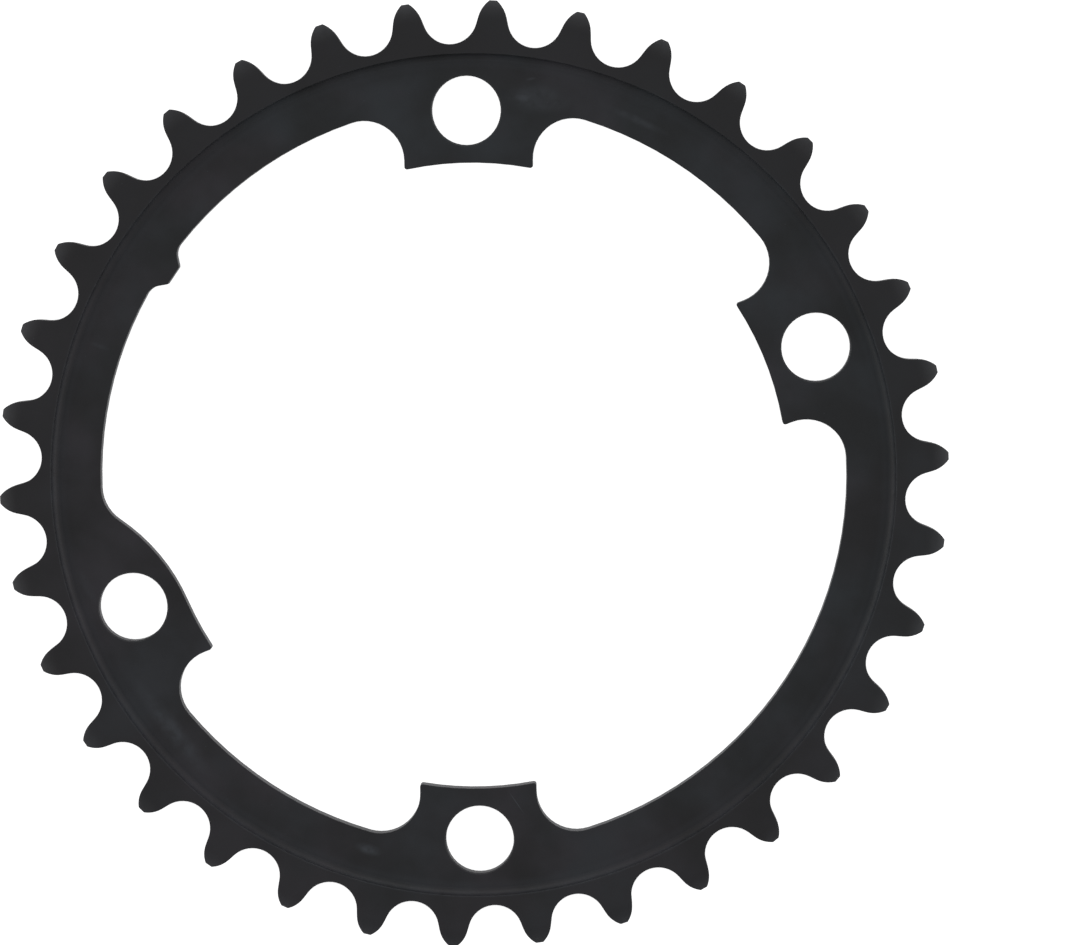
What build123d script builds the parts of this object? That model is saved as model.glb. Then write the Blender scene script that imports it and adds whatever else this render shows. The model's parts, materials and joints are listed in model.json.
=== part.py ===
from build123d import *
import os
from math import hypot, radians, sin, sqrt, tan

# Inner chainring of a double crankset: one plate, toothed outside, with four bolt tabs inside
# Millimetres and degrees; Z is the axis that the ring turns on, and the flat back is at Z = 0
# The origin is the middle of the bolt circle, and +X points at the locator bump

# Chain that runs on the ring
CHAIN_PITCH = 12.7
ROLLER_D = 7.75

# Teeth: roller seat, straight flank, crown arc and a narrow tip, thinned on both sides
TEETH = 34
TOOTH_T = 2.1
TIP_T = 0.45
TIP_HEIGHT = 2.55
ROOT_CLEARANCE = 0.07
SEAT_CLEARANCE = 0.225
FLANK_ANGLE = 19.0
FLANK_LENGTH = 1.2
CROWN_R = 4.7
RELIEF_HEIGHT = 3.0
TOOTH_INDEX = -0.26

# Plate: body, tooth land raised above its front face on a coved step, and the slope behind that step
BODY_T = 2.3
TOOTH_RAISE = 1.3
ROOT_LAND = 1.43
COVE_R = 1.15
BACK_SLOPE_W = 1.7
RIM_W = 8.77

# Bolt holes, at this angle either side of the crank arm and of the line behind it
BOLT_CIRCLE_D = 110.0
BOLT_ANGLE = 55.0
BOLT_HOLE_D = 10.3
HOLE_CHAMFER = 0.2

# Bolt tabs, counted anticlockwise from the locator, with the flanks ahead of and behind the bolt
TAB_REACH = 7.8
TAB_CORNER_R = 0.4
NOTCH_R = 6.0
FIRST_TAB_AHEAD = 10.2
SECOND_TAB_AHEAD = 8.7
SECOND_TAB_BEHIND = 8.9
THIRD_TAB_AHEAD = 10.35
THIRD_TAB_BEHIND = 9.25
FOURTH_TAB_AHEAD = 9.4
FOURTH_TAB_BEHIND = 9.8

# Lobe that takes the place of the first tab's flank behind its bolt
LOBE_R = 28.4
LOBE_TURN = 2.45

# Locator bump
LOCATOR_HEIGHT = 1.95
LOCATOR_TIP_W = 3.1
LOCATOR_FLANK_ANGLE = 44.0
LOCATOR_FOOT_R = 2.5
LOCATOR_CORNER_R = 0.4

# How far a cutting shape runs past what it cuts, and how near counts as on a circle
OVERRUN = 1.0
NEAR = 1e-4

# Least share of a tab's flank or of a step that the round beside it leaves straight
STRAIGHT_SHARE = 0.05

# Circles about the origin
pitch_angle = 360.0 / TEETH
pitch_r = CHAIN_PITCH / (2.0 * sin(radians(pitch_angle / 2.0)))
tip_r = pitch_r + TIP_HEIGHT
root_r = pitch_r - ROLLER_D / 2.0 - ROOT_CLEARANCE
step_r = root_r - ROOT_LAND
rim_r = root_r - RIM_W
bolt_r = BOLT_CIRCLE_D / 2.0
tab_r = bolt_r - TAB_REACH

# Arcs of the roller seats and bolt holes
seat_r = ROLLER_D / 2.0 + SEAT_CLEARANCE
hole_r = BOLT_HOLE_D / 2.0

# Heights of the tooth land's two faces, and the angles of the bolts
tooth_front_z = BODY_T + TOOTH_RAISE
tooth_back_z = tooth_front_z - TOOTH_T
bolt_angles = (BOLT_ANGLE, 180.0 - BOLT_ANGLE, 180.0 + BOLT_ANGLE, 360.0 - BOLT_ANGLE)

# Straight flanks of the tabs, ahead of and behind their bolts
flanks_ahead = (FIRST_TAB_AHEAD, SECOND_TAB_AHEAD, THIRD_TAB_AHEAD, FOURTH_TAB_AHEAD)
flanks_behind = (SECOND_TAB_BEHIND, THIRD_TAB_BEHIND, FOURTH_TAB_BEHIND)


def on_circle(shape, radius):
    """Corners of a flat shape that lie on a circle about the origin."""
    return shape.vertices().filter_by(lambda corner: abs(hypot(corner.X, corner.Y) - radius) < NEAR)


def tooth_gap():
    """Space between two teeth, open along +X."""
    seat = CenterArc((root_r + seat_r, 0), seat_r, 90.0 + FLANK_ANGLE, 180.0 - 2.0 * FLANK_ANGLE)
    flank = PolarLine(seat @ 0, FLANK_LENGTH, FLANK_ANGLE)
    crown = JernArc(flank @ 1, flank % 1, CROWN_R, 90.0 - FLANK_ANGLE)
    crown_top = crown @ 1
    mouth = Line(crown_top, (max(tip_r, crown_top.X) + OVERRUN, crown_top.Y))
    side = [flank, crown, mouth]
    other_side = [mirror(edge, about=Plane.XZ) for edge in side]
    closing = Line(mouth @ 1, other_side[-1] @ 1)
    return make_face([seat, *side, *other_side, closing])


def toothed_disc():
    """Outline of the ring with its teeth, not yet cut to the tip circle."""
    gaps = PolarLocations(0, TEETH, TOOTH_INDEX) * tooth_gap()
    return Circle(tip_r + OVERRUN) - gaps


def strip(low_y, high_y):
    """Strip along +X from the tab circle out into the rim."""
    width = high_y - low_y
    blank = Pos(0, low_y) * Rectangle(rim_r + OVERRUN, width, align=(Align.MIN, Align.MIN))
    return blank - Circle(tab_r)


def plain_tab(ahead, behind):
    """Bolt tab along +X with a straight flank on each side."""
    tab = strip(-behind, ahead)
    return fillet(on_circle(tab, tab_r), TAB_CORNER_R)


def lobed_tab(ahead):
    """Bolt tab along +X with one straight flank and a lobe behind the bolt that swells from the tab arc."""
    touch_y = tab_r * sin(radians(LOBE_TURN))
    tab = strip(touch_y, ahead)
    corner = on_circle(tab, tab_r).sort_by(Axis.Y)[-1]
    tab = fillet(corner, TAB_CORNER_R)
    lobe = Pos(tab_r + LOBE_R) * Circle(LOBE_R)
    lobe -= Rectangle(4.0 * rim_r, 2.0 * rim_r, align=(Align.CENTER, Align.MIN))
    return tab + Rot(0, 0, LOBE_TURN) * lobe


def locator():
    """Bump along +X that points at the crank arm when the ring is fitted the right way round."""
    tip_x = rim_r - LOCATOR_HEIGHT
    base_x = rim_r + OVERRUN
    half_tip = LOCATOR_TIP_W / 2.0
    half_base = half_tip + (base_x - tip_x) * tan(radians(LOCATOR_FLANK_ANGLE))
    corners = [(tip_x, half_tip), (tip_x, -half_tip), (base_x, -half_base), (base_x, half_base)]
    bump = make_face(Polyline(corners, close=True))
    return fillet(bump.vertices().group_by(Axis.X)[0], LOCATOR_CORNER_R)


def notch_room(flank):
    """Largest notch radius that leaves a share of the flank straight, next to the tab's rounded corner."""
    corner_x = sqrt((tab_r + TAB_CORNER_R) ** 2 - (flank - TAB_CORNER_R) ** 2)
    rim_x = sqrt(rim_r**2 - flank**2)
    end_x = corner_x + STRAIGHT_SHARE * (rim_x - corner_x)
    return (rim_x**2 - end_x**2) / (2.0 * (rim_r + flank))


def notch_radius():
    """Radius of the notches beside the tabs, limited by the shortest flank."""
    return min(NOTCH_R, *[notch_room(flank) for flank in flanks_ahead + flanks_behind])


def opening():
    """Outline of the space inside the ring, with tabs and locator standing into it."""
    tabs = [lobed_tab(flanks_ahead[0])]
    tabs += [plain_tab(ahead, behind) for ahead, behind in zip(flanks_ahead[1:], flanks_behind)]
    placed = [Rot(0, 0, angle) * tab for angle, tab in zip(bolt_angles, tabs)]
    space = Rot(0, 0, BOLT_ANGLE) * Circle(rim_r) - placed
    space = fillet(on_circle(space, rim_r), notch_radius())
    space -= locator()
    feet = on_circle(space, rim_r).sort_by_distance((rim_r, 0))[:2]
    return fillet(feet, LOCATOR_FOOT_R)


def at_bolts(shape):
    """Four copies of a shape, one on each bolt."""
    return [Rot(0, 0, angle) * Pos(bolt_r) * shape for angle in bolt_angles]


def outline():
    """Outline of the ring seen along Z, with metal kept round each bolt hole."""
    boss = Circle(TAB_REACH - TAB_CORNER_R)
    return toothed_disc() - opening() + at_bolts(boss)


def cove_radius():
    """Radius of the cove at the foot of the step, limited by the step's height."""
    return min(COVE_R, (1.0 - STRAIGHT_SHARE) * TOOTH_RAISE)


def section():
    """Half section in radius and height: body, step, tooth land, and tips thinned on both sides."""
    inner_r = tab_r - OVERRUN
    relief_r = tip_r - RELIEF_HEIGHT
    relief_drop = (TOOTH_T - TIP_T) / 2.0
    outward = (1, 0)

    front = Line((inner_r, BODY_T), (step_r - cove_radius(), BODY_T))
    cove = JernArc(front @ 1, outward, cove_radius(), 90.0)
    step = Line(cove @ 1, (step_r, tooth_front_z))
    front_land = Line(step @ 1, (relief_r, tooth_front_z))
    front_relief = TangentArc(front_land @ 1, (tip_r, tooth_front_z - relief_drop), tangent=outward)

    back = Line((inner_r, 0), (step_r - BACK_SLOPE_W, 0))
    slope = Line(back @ 1, (step_r, tooth_back_z))
    back_land = Line(slope @ 1, (relief_r, tooth_back_z))
    back_bevel = Line(back_land @ 1, (tip_r, tooth_back_z + relief_drop))

    inner = Line(back @ 0, front @ 0)
    tip = Line(back_bevel @ 1, front_relief @ 1)
    front_side = [front, cove, step, front_land, front_relief]
    back_side = [back, slope, back_land, back_bevel]
    return make_face([inner, *front_side, tip, *back_side])


def bolt_hole():
    """Cutter for one bolt hole on Z, with its chamfer at each face."""
    wide_r = hole_r + HOLE_CHAMFER + OVERRUN
    half = Polyline(
        (0, -OVERRUN),
        (wide_r, -OVERRUN),
        (hole_r, HOLE_CHAMFER),
        (hole_r, BODY_T - HOLE_CHAMFER),
        (wide_r, BODY_T + OVERRUN),
        (0, BODY_T + OVERRUN),
        close=True,
    )
    return revolve(Plane.XZ * make_face(half), Axis.Z)


def chainring():
    """The whole ring."""
    ring = extrude(outline(), amount=tooth_front_z) & revolve(Plane.XZ * section(), Axis.Z)
    return ring - at_bolts(bolt_hole())


os.makedirs("parts", exist_ok=True)
ring = chainring()
ring.label = "chainring"
export_step(ring, "parts/chainring.step")
print("chainring with", TEETH, "teeth on a", round(2.0 * pitch_r, 2), "mm pitch circle")
print("volume", round(ring.volume, 1), "mm3")
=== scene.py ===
# %% [markdown]
# # A matte black bicycle chainring
# The ring arrives at its true size, in metres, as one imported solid: a plate with teeth outside and bolt tabs
# inside. Nothing about its form is invented here. The lesson gives it what a drawing leaves out: edges broken as
# on a tumbled and blasted part, a dyed matte finish with its small marks, a white table, soft light and a camera.

# %% Load the ring
import json
from math import cos, hypot, radians, sin
import bpy
from mathutils import Matrix, Vector

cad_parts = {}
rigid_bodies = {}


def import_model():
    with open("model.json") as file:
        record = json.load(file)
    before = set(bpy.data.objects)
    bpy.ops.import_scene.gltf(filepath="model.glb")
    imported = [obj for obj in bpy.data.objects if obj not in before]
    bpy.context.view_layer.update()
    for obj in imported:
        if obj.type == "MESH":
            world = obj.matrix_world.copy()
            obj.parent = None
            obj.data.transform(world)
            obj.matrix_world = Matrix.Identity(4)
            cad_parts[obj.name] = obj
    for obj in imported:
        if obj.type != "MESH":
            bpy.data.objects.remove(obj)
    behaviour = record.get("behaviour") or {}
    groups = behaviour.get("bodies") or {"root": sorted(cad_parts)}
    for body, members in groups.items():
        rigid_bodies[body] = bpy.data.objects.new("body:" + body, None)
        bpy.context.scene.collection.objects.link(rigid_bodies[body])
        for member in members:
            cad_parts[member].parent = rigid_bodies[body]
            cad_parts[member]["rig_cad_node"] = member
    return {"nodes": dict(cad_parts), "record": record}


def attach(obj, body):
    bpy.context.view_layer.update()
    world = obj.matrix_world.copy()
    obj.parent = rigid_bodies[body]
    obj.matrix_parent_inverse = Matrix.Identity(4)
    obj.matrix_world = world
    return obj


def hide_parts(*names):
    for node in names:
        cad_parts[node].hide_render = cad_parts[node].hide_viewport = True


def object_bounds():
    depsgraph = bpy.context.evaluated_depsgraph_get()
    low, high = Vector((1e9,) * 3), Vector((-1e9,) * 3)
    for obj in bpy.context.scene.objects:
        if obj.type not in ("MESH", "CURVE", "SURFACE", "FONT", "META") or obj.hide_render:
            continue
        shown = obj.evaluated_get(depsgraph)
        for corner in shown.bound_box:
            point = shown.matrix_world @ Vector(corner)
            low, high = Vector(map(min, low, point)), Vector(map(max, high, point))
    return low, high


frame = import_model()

MM = 0.001
solid_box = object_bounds()
solid_ring = frame["nodes"]["chainring"]
front_mount = next(mount for mount in frame["record"]["mounts"] if mount["name"] == "front_face")
face_z = front_mount["pos_m"][2]
tooth_z = solid_box[1].z
print("ring solid", [round(side / MM, 2) for side in solid_box[1] - solid_box[0]], "mm")

# %% [markdown]
# ## A copy to finish
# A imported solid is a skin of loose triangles. It could be dressed as it is, but loose triangles can't share a
# smooth shade or a rounded edge. So the ring is copied and its triangles are welded along their seams. The solid
# itself stays as it is, and the copy takes its place in the picture.

# %% Copy the ring
bpy.ops.object.select_all(action="DESELECT")
solid_ring.select_set(True)
bpy.context.view_layer.objects.active = solid_ring
bpy.ops.object.duplicate()
ring = bpy.context.active_object
ring.name = "finished_chainring"
ring.data.name = "finished_chainring"
del ring["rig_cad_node"]
print("copied", solid_ring.name, "as", ring.name)

# %% Weld its triangles
WELD_DISTANCE = 0.002 * MM

bpy.ops.mesh.customdata_custom_splitnormals_clear()
bpy.ops.object.mode_set(mode="EDIT")
bpy.ops.mesh.select_all(action="SELECT")
bpy.ops.mesh.remove_doubles(threshold=WELD_DISTANCE)
bpy.ops.mesh.select_all(action="DESELECT")
bpy.ops.object.mode_set(mode="OBJECT")
print("welded ring:", len(ring.data.vertices), "points and", len(ring.data.polygons), "triangles")

# %% [markdown]
# ## The cove, swept again
# A cove rises from the plate to the tooth land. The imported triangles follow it, but unevenly, and on dark metal a
# smooth shade shows each uneven triangle as a dent. So the cove's triangles are taken out, and the edge that is
# left round the plate is extruded up the same arc in even steps. The last step is bridged to the edge of the land.

# %% Measure the cove
NEAR = 0.0005 * MM


def radius_of(spot):
    """Distance of a spot from the ring's axis."""
    return hypot(spot.x, spot.y)


heights = [(point.co.z, radius_of(point.co)) for point in ring.data.vertices]
cove_foot = max(radius for height, radius in heights if abs(height - face_z) < NEAR)
land_edge = min(radius for height, radius in heights if abs(height - tooth_z) < NEAR)
cove_radius = land_edge - cove_foot
print("cove of", round(cove_radius / MM, 3), "mm from radius", round(cove_foot / MM, 3), "mm")

# %% Take the cove's triangles out
ONLY_FACES = (False, False, True)

bpy.context.tool_settings.mesh_select_mode = ONLY_FACES
for face in ring.data.polygons:
    rises = face_z + NEAR < face.center.z < tooth_z - NEAR
    face.select = rises and radius_of(face.center) < land_edge + NEAR
print("taken out:", sum(face.select for face in ring.data.polygons), "triangles")
bpy.ops.object.mode_set(mode="EDIT")
bpy.ops.mesh.delete(type="FACE")

# %% Choose the open edge round the plate
bpy.ops.mesh.select_mode(type="EDGE")
bpy.ops.mesh.select_all(action="DESELECT")
bpy.ops.mesh.select_non_manifold()
bpy.ops.object.mode_set(mode="OBJECT")
points = ring.data.vertices
for edge in ring.data.edges:
    edge.select = edge.select and points[edge.vertices[0]].co.z < face_z + NEAR
print("open edge round the plate:", sum(edge.select for edge in ring.data.edges), "edges")

# %% Sweep the cove in even steps
COVE_STEPS = 9

bpy.ops.object.mode_set(mode="EDIT")
reached = cove_foot
climbed = 0.0
for step in range(1, COVE_STEPS + 1):
    turn = radians(90.0 * step / COVE_STEPS)
    reach = cove_foot + cove_radius * sin(turn)
    climb = cove_radius * (1.0 - cos(turn))
    bpy.ops.mesh.extrude_edges_move(TRANSFORM_OT_translate={"value": (0.0, 0.0, climb - climbed)})
    widen = reach / reached
    bpy.ops.transform.resize(value=(widen, widen, 1.0), center_override=(0.0, 0.0, 0.0))
    reached = reach
    climbed = climb
print("cove swept out to radius", round(reached / MM, 3), "mm")

# %% Bridge the cove to the land
bpy.ops.mesh.select_all(action="DESELECT")
bpy.ops.mesh.select_non_manifold()
bpy.ops.mesh.bridge_edge_loops()
bpy.ops.mesh.select_all(action="SELECT")
bpy.ops.mesh.normals_make_consistent(inside=False)
bpy.ops.mesh.select_all(action="DESELECT")
bpy.ops.mesh.select_non_manifold()
bpy.ops.object.mode_set(mode="OBJECT")
print("swept ring has", sum(edge.select for edge in ring.data.edges), "open edges")

# %% [markdown]
# ## Broken edges
# No edge on a made part is a true corner: tumbling and blasting take off about a tenth of a millimetre, and the
# anodic layer rounds it further. That hair of a radius is what catches the light round each tooth. The flat faces
# are first cleared of their triangles. A Bevel modifier limited by angle then finds the sharp corners by itself,
# and leaves the cove alone. A Weighted Normal modifier lets the wide flat faces keep their own shade, so that the
# roundings blend in.

# %% Clear the flat faces
FLAT = 0.99999
FLAT_ANGLE = radians(0.3)

bpy.context.tool_settings.mesh_select_mode = ONLY_FACES
for face in ring.data.polygons:
    face.select = abs(face.normal.z) > FLAT
bpy.ops.object.mode_set(mode="EDIT")
bpy.ops.mesh.dissolve_limited(angle_limit=FLAT_ANGLE)
bpy.ops.object.mode_set(mode="OBJECT")
print("cleared ring:", len(ring.data.polygons), "faces")

# %% Round the sharp corners
EDGE_ROUND = 0.09 * MM
ROUND_STEPS = 3
SHARP_CORNER = radians(50)

rounding = ring.modifiers.new("tumbled edges", "BEVEL")
rounding.width = EDGE_ROUND
rounding.segments = ROUND_STEPS
rounding.limit_method = "ANGLE"
rounding.angle_limit = SHARP_CORNER
bpy.ops.object.modifier_apply(modifier=rounding.name)
print("rounded ring:", len(ring.data.polygons), "faces")

# %% Shade it smooth
SMOOTH_ANGLE = radians(35)

bpy.ops.object.shade_smooth_by_angle(angle=SMOOTH_ANGLE)
even_shade = ring.modifiers.new("even flats", "WEIGHTED_NORMAL")
even_shade.keep_sharp = True
bpy.ops.object.modifier_apply(modifier=even_shade.name)

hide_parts("chainring")
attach(ring, "root")
print(ring.name, "takes the place of", solid_ring.name)

# %% [markdown]
# ## The black finish
# The plate is aluminium that was blasted, anodised and dyed black. It could be one dark grey, but the real layer
# is never that even: the dye is cloudy over some millimetres, leans to violet here and to blue there, and the
# blasted grain under it scatters light. The finish is built from noises at those real scales, read from Object
# coordinates, so that it stays put on the metal.

# %% Start the finish
anodise = bpy.data.materials.new("matte_black_anodise")
anodise.use_nodes = True
nodes = anodise.node_tree.nodes
link = anodise.node_tree.links.new
shader = nodes["Principled BSDF"]
shader.inputs["Specular IOR Level"].default_value = 0.5
place = nodes.new("ShaderNodeTexCoord").outputs["Object"]
print("finish started:", anodise.name)

# %% [markdown]
# Four small helpers add the nodes that the finish needs again and again: a noise of a given size, a value taken
# from one range to another, a sum or product, and a blend of two colours.

# %% Helpers for the finish
def noise(title, size, detail):
    """Noise whose blotches are about this size in metres."""
    node = nodes.new("ShaderNodeTexNoise")
    node.label = title
    node.inputs["Scale"].default_value = 1.0 / size
    node.inputs["Detail"].default_value = detail
    link(place, node.inputs["Vector"])
    return node.outputs["Fac"]


def span(title, value, low, high, low_to=0.0, high_to=1.0):
    """Value taken from the range low to high over to the range low_to to high_to, with soft ends."""
    node = nodes.new("ShaderNodeMapRange")
    node.label = title
    node.interpolation_type = "SMOOTHSTEP"
    node.inputs["From Min"].default_value = low
    node.inputs["From Max"].default_value = high
    node.inputs["To Min"].default_value = low_to
    node.inputs["To Max"].default_value = high_to
    link(value, node.inputs["Value"])
    return node.outputs["Result"]


def work_out(title, operation, first, second):
    """Sum, product or other arithmetic of two values."""
    node = nodes.new("ShaderNodeMath")
    node.label = title
    node.operation = operation
    link(first, node.inputs[0])
    link(second, node.inputs[1])
    return node.outputs["Value"]


def tint(title, amount, under, over):
    """Colour that goes from under to over as the amount goes from 0 to 1."""
    node = nodes.new("ShaderNodeMix")
    node.label = title
    node.data_type = "RGBA"
    link(amount, node.inputs["Factor"])
    for colour, socket in ((under, node.inputs[6]), (over, node.inputs[7])):
        if isinstance(colour, tuple):
            socket.default_value = colour
        else:
            link(colour, socket)
    return node.outputs[2]


# %% Cloudy dye
CLOUD_SIZE = 11 * MM
# The deep violet also serves below as painted shade on the land.
DEEP_VIOLET_DYE_AND_SHADE = (0.0058, 0.0053, 0.0070, 1.0)
THIN_VIOLET = (0.0206, 0.0188, 0.0244, 1.0)
DEEP_TEAL = (0.0044, 0.0056, 0.0071, 1.0)
THIN_TEAL = (0.0158, 0.0198, 0.0250, 1.0)

clouds = span("spread of the dye", noise("cloudy dye", CLOUD_SIZE, 4.0), 0.28, 0.72)
violet_dye = tint("violet dye", clouds, DEEP_VIOLET_DYE_AND_SHADE, THIN_VIOLET)
teal_dye = tint("teal dye", clouds, DEEP_TEAL, THIN_TEAL)
print("dye is cloudy over", round(CLOUD_SIZE / MM), "mm")

# %% Hue of the dye
HUE_SIZE = 16 * MM
HUE_DRIFT = 0.35
TEAL_SIDE = radians(-108)
DRIFT_REACH = 70 * MM


def towards(angle):
    """How far a place lies from the axis towards one side of the ring."""
    node = nodes.new("ShaderNodeVectorMath")
    node.operation = "DOT_PRODUCT"
    node.inputs[1].default_value = (cos(angle), sin(angle), 0.0)
    link(place, node.inputs[0])
    return node.outputs["Value"]


drift = span("drift across the ring", towards(TEAL_SIDE), -DRIFT_REACH, DRIFT_REACH, -HUE_DRIFT, HUE_DRIFT)
blotches = span("blotches of hue", noise("hue of the dye", HUE_SIZE, 3.0), 0.35, 0.65)
lean = work_out("lean to teal", "ADD", blotches, drift)
colour = tint("hue of the dye", lean, violet_dye, teal_dye)
print("hue changes over", round(HUE_SIZE / MM), "mm")

# %% [markdown]
# ## Worn tips, and painted light and shade round the land
# The chain's side plates brush the tips of the teeth, so the dye is thinner there, in patches. The edge of the land
# gets a lighter band in the same patches, partly wear and partly a painted highlight, left off on the far side. The
# land itself gets painted shade, darker on its far side, and the foot of the cove gets painted light, which lifts
# the soft shadow that the lamps below cast inside the step. All of these follow the distance from the ring's axis:
# the height is taken out of the place, and the length of what is left is that distance.

# %% Measure the distance from the axis
flat_place = nodes.new("ShaderNodeVectorMath")
flat_place.operation = "MULTIPLY"
flat_place.inputs[1].default_value = (1.0, 1.0, 0.0)
link(place, flat_place.inputs[0])
distance = nodes.new("ShaderNodeVectorMath")
distance.operation = "LENGTH"
link(flat_place.outputs["Vector"], distance.inputs[0])
from_axis = distance.outputs["Value"]

tip_radius = max(radius_of(point.co) for point in ring.data.vertices)
print("land from radius", round(land_edge / MM, 2), "mm, tips at", round(tip_radius / MM, 2), "mm")

# %% Paint shade on the land and rub the tips
# A light grey for rubbed places; it is also the painted highlight on the edge of the land and the painted light
# along the foot of the cove.
RUBBED_AND_LIT = (0.042, 0.048, 0.058, 1.0)
PATCH_SIZE = 1.6 * MM
FAR_SIDE = radians(-56)
LAND_BLEND = 0.3 * MM
TIP_REACH = 2.4 * MM
TIP_WEAR = 0.24

patchy = span("patchy rub", noise("patches", PATCH_SIZE, 4.0), 0.25, 0.75, 0.25, 1.0)
# Painted shade: the land is darkened towards the deep violet of the dye, more on its far side.
on_land = span("on the land", from_axis, land_edge - LAND_BLEND, land_edge + LAND_BLEND)
painted_shade = span("deeper on the far side", towards(FAR_SIDE), -30 * MM, 50 * MM, 0.35, 0.75)
colour = tint("tooth land", work_out("deeper land", "MULTIPLY", on_land, painted_shade), colour, DEEP_VIOLET_DYE_AND_SHADE)
tips = span("brushed tips", from_axis, tip_radius - TIP_REACH, tip_radius, 0.0, TIP_WEAR)
colour = tint("worn tips", work_out("patchy tips", "MULTIPLY", tips, patchy), colour, RUBBED_AND_LIT)
print("tips rubbed over", round(TIP_REACH / MM, 1), "mm")

# %% Wear the edge of the land and paint a highlight on it
EDGE_WEAR_AND_HIGHLIGHT = 0.28


def band(title, middle, starts, full, fades, ends, strength):
    """Band round the ring: where it starts, is full, fades and ends, in mm from its middle radius."""
    rise = span(title, from_axis, middle + starts * MM, middle + full * MM, 0.0, strength)
    fall = span(title, from_axis, middle + fades * MM, middle + ends * MM, 1.0, 0.0)
    return work_out(title, "MULTIPLY", rise, fall)


# A lighter band along the edge of the land, partly wear and partly a painted highlight, left off on the far side.
edge_wear_and_highlight = band("worn edge of the land", land_edge, -0.5, -0.15, 0.02, 0.25, EDGE_WEAR_AND_HIGHLIGHT)
near_side = span("less on the far side", towards(FAR_SIDE), 35 * MM, 58 * MM, 1.0, 0.0)
edge_wear_and_highlight = work_out("worn on the near side", "MULTIPLY", edge_wear_and_highlight, near_side)
edge_wear_and_highlight = work_out("patchy edge", "MULTIPLY", edge_wear_and_highlight, patchy)
colour = tint("worn edge", edge_wear_and_highlight, colour, RUBBED_AND_LIT)
print("edge of the land worn at radius", round(land_edge / MM, 2), "mm")

# %% Paint light along the foot of the cove
FOOT_PAINTED_LIGHT = 0.16

# Painted light: the foot of the cove is lightened to lift the soft shadow that the lamps cast inside the step.
foot = band("foot of the cove", cove_foot, -1.3, -0.2, 0.1, 0.5, FOOT_PAINTED_LIGHT)
colour = tint("painted light at the foot", foot, colour, RUBBED_AND_LIT)
print("painted light at radius", round(cove_foot / MM, 2), "mm")

# %% [markdown]
# ## Small marks
# Handling leaves its traces on matte black: a rubbed patch, a smear, a scratch. They could be painted on a
# picture, but a picture ties the finish to its pixels. So each is a soft ellipse on the front face. A Mapping node
# of the Texture kind moves the ellipse's middle to the origin, turns it and divides by its half axes, so the
# length of the result is 1 on its edge. A broken-up noise keeps the patch from looking drawn.

# %% Place the marks
FACE_DEPTH = 1.5 * MM


def mark(title, angle, radius, length, width, turn, strength):
    """Soft ellipse on the front face, in degrees and mm, turned from the ring's own tangent."""
    ellipse = nodes.new("ShaderNodeMapping")
    ellipse.label = title
    ellipse.vector_type = "TEXTURE"
    ellipse.inputs["Location"].default_value = (
        radius * MM * cos(radians(angle)),
        radius * MM * sin(radians(angle)),
        face_z,
    )
    ellipse.inputs["Rotation"].default_value = (0.0, 0.0, radians(angle + 90.0 + turn))
    ellipse.inputs["Scale"].default_value = (length / 2.0 * MM, width / 2.0 * MM, FACE_DEPTH)
    link(place, ellipse.inputs["Vector"])
    reach = nodes.new("ShaderNodeVectorMath")
    reach.operation = "LENGTH"
    link(ellipse.outputs["Vector"], reach.inputs[0])
    return span(title, reach.outputs["Value"], 0.1, 1.0, strength, 0.0)


rubs = [
    mark("rub beside the bolt hole", -65.7, 57.6, 13.0, 5.4, 3.0, 0.5),
    mark("bright core of that rub", -63.6, 57.3, 5.0, 2.2, 6.0, 0.8),
    mark("streak along the rim", -80.6, 58.9, 12.0, 1.6, 0.0, 0.5),
    mark("nick above the rub", -64.3, 60.3, 2.0, 0.6, 20.0, 0.5),
    mark("smear by the lobe", 74.1, 59.6, 23.0, 4.2, -2.0, 0.7),
    mark("smear beside the hole", 50.0, 60.6, 7.5, 2.0, 10.0, 0.35),
    mark("small rubbed spot", 108.3, 58.75, 5.2, 2.2, 0.0, 0.9),
    mark("faint streak across the rim", 14.6, 59.5, 3.6, 1.0, 90.0, 0.35),
]
scratch = mark("scratch by the bolt hole", 131.5, 49.7, 5.2, 0.26, -63.0, 0.7)
print("placed", len(rubs), "rubs and a scratch")

# %% Join the marks
rub = rubs[0]
for other in rubs[1:]:
    rub = work_out("all rubs", "MAXIMUM", rub, other)
rub = work_out("patchy rubs", "MULTIPLY", rub, patchy)
worn = work_out("rubs and scratch", "MAXIMUM", rub, scratch)
print("finish so far:", len(nodes), "nodes")

# %% [markdown]
# Dust and tiny chips show as light specks. A Voronoi texture gives each small cell of space one point; where such
# a point lies near the surface, and its cell's random grey is bright enough, a speck shows.

# %% Scatter the specks
SPECK_GAP = 2.2 * MM
SPECK_SIZE = 0.13 * MM
SPECK_STRENGTH = 0.6

cells = nodes.new("ShaderNodeTexVoronoi")
cells.label = "specks"
cells.inputs["Scale"].default_value = 1.0 / SPECK_GAP
link(place, cells.inputs["Vector"])
dots = span("size of a speck", cells.outputs["Distance"], 0.0, SPECK_SIZE / SPECK_GAP, SPECK_STRENGTH, 0.0)
chosen = span("chosen specks", cells.outputs["Color"], 0.45, 0.6)
specks = work_out("light specks", "MULTIPLY", dots, chosen)
worn = work_out("rubs and specks", "MAXIMUM", worn, specks)
colour = tint("rubbed places", worn, colour, RUBBED_AND_LIT)
link(colour, shader.inputs["Base Color"])
print("specks of up to", round(2 * SPECK_SIZE / MM, 2), "mm across")

# %% [markdown]
# ## Blasted grain
# Blasting leaves a fine grain that spreads the highlights. It is far too fine to model, so a noise of about the
# grain's own size drives a shallow bump and the roughness. Where the metal was rubbed, the grain is smoothed and
# shines a little more.

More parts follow.
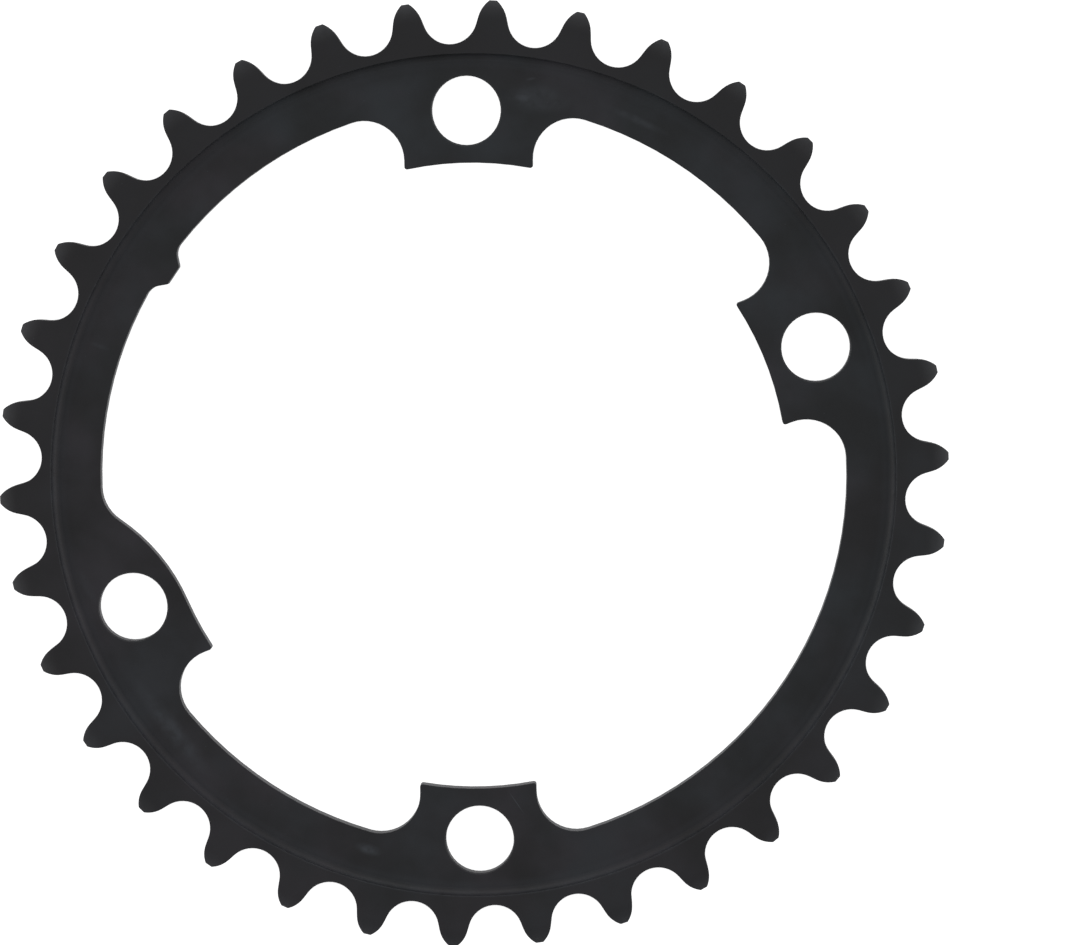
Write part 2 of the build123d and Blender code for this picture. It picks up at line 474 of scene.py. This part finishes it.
# %% Grain and gloss
GRAIN = 0.16 * MM
GRAIN_DEPTH = 0.006 * MM
GRAIN_STRENGTH = 0.5
LEAST_MATTE = 0.56
MOST_MATTE = 0.64
RUB_SHINE = 0.15

grain = noise("blasted grain", GRAIN, 2.0)
matte = span("matte of the grain", grain, 0.3, 0.7, LEAST_MATTE, MOST_MATTE)
shine = span("shine of the rubs", worn, 0.0, 1.0, 0.0, RUB_SHINE)
link(work_out("gloss", "SUBTRACT", matte, shine), shader.inputs["Roughness"])
bump = nodes.new("ShaderNodeBump")
bump.inputs["Strength"].default_value = GRAIN_STRENGTH
bump.inputs["Distance"].default_value = GRAIN_DEPTH
link(grain, bump.inputs["Height"])
link(bump.outputs["Normal"], shader.inputs["Normal"])

ring.data.materials.clear()
ring.data.materials.append(anodise)
print("finish has", len(nodes), "nodes")

# %% [markdown]
# ## A white table
# The ring was pictured on pure white, without a shadow. A white floor under lamps alone would go grey in the tooth
# gaps, so the table glows by itself, as a light table does. Its glow also lights the walls that face the camera.

# %% White table
TABLE_SIZE = 6.0
TABLE_GAP = 0.02 * MM
TABLE_GLOW = 0.82
WHITE = (1.0, 1.0, 1.0, 1.0)
PAPER_WHITE = (0.85, 0.85, 0.85, 1.0)

bpy.ops.object.select_all(action="DESELECT")
bpy.ops.mesh.primitive_plane_add(size=TABLE_SIZE, location=(0.0, 0.0, -TABLE_GAP))
table = bpy.context.active_object
table.name = "white_table"
paper = bpy.data.materials.new("white_paper")
paper.use_nodes = True
sheet = paper.node_tree.nodes["Principled BSDF"]
sheet.inputs["Base Color"].default_value = PAPER_WHITE
sheet.inputs["Roughness"].default_value = 0.9
sheet.inputs["Emission Color"].default_value = WHITE
sheet.inputs["Emission Strength"].default_value = TABLE_GLOW
table.data.materials.append(paper)
print("table of", TABLE_SIZE, "m under the ring")

# %% [markdown]
# ## Soft light
# The cove round the plate is light at the picture's left, right and bottom and dark at its top, so the light came
# in low from the left, the right and the far side. Three equal soft lamps stand there, and a grey surround fills
# in. Bearings are counted in the picture, from its right.

# %% Lamps
PICTURE_UP = -55.99
LAMP_ELEVATION = 22.0
LAMP_DISTANCE = 1.1
LAMP_SIZE = 0.7
LAMP_POWER = 3.1


def lamp(name, bearing):
    """Square soft lamp that faces the ring."""
    turn = radians(PICTURE_UP - 90.0 + bearing)
    height = radians(LAMP_ELEVATION)
    facing = Vector((cos(turn) * cos(height), sin(turn) * cos(height), sin(height)))
    bpy.ops.object.light_add(type="AREA", location=LAMP_DISTANCE * facing)
    light = bpy.context.active_object
    light.name = name
    light.data.shape = "SQUARE"
    light.data.size = LAMP_SIZE
    light.data.energy = LAMP_POWER
    light.rotation_mode = "QUATERNION"
    light.rotation_quaternion = facing.to_track_quat("Z", "Y")
    print(name, "of", LAMP_POWER, "W at bearing", bearing)


lamp("right_lamp", 0.0)
lamp("far_lamp", 90.0)
lamp("left_lamp", 180.0)

# %% Grey surround
SURROUND = 0.39

world = bpy.data.worlds.new("studio")
world.use_nodes = True
backdrop = world.node_tree.nodes["Background"]
backdrop.inputs["Color"].default_value = WHITE
backdrop.inputs["Strength"].default_value = SURROUND
bpy.context.scene.world = world
bpy.context.scene.view_settings.view_transform = "Standard"
print("surround of strength", SURROUND)

# %% [markdown]
# ## The camera
# The picture was taken from above, a few degrees off square, from some way off. Where the camera stood and what it
# was aimed at follow from the tooth gaps: they lie on a true circle, and the picture shows how far it is squeezed.

# %% Camera
CAMERA_HEIGHT = 627.45 * MM
CAMERA_AT = Vector((10.35 * MM, -59.55 * MM, tooth_z + CAMERA_HEIGHT))
AIMED_AT = Vector((-7.86 * MM, -6.41 * MM, tooth_z))
LENS = 140.1
SENSOR_WIDTH = 36.0
NEAREST_SEEN = 0.01

away = (CAMERA_AT - AIMED_AT).normalized()
up = Vector((cos(radians(PICTURE_UP)), sin(radians(PICTURE_UP)), 0.0))
right = up.cross(away).normalized()
axes = Matrix((right, away.cross(right), away)).transposed()

bpy.ops.object.camera_add(location=CAMERA_AT)
camera = bpy.context.active_object
camera.rotation_mode = "QUATERNION"
camera.rotation_quaternion = axes.to_quaternion()
camera.data.sensor_width = SENSOR_WIDTH
camera.data.lens = LENS
camera.data.clip_start = NEAREST_SEEN
bpy.context.scene.camera = camera
print("camera stands", round((CAMERA_AT - AIMED_AT).length / MM), "mm from the ring")
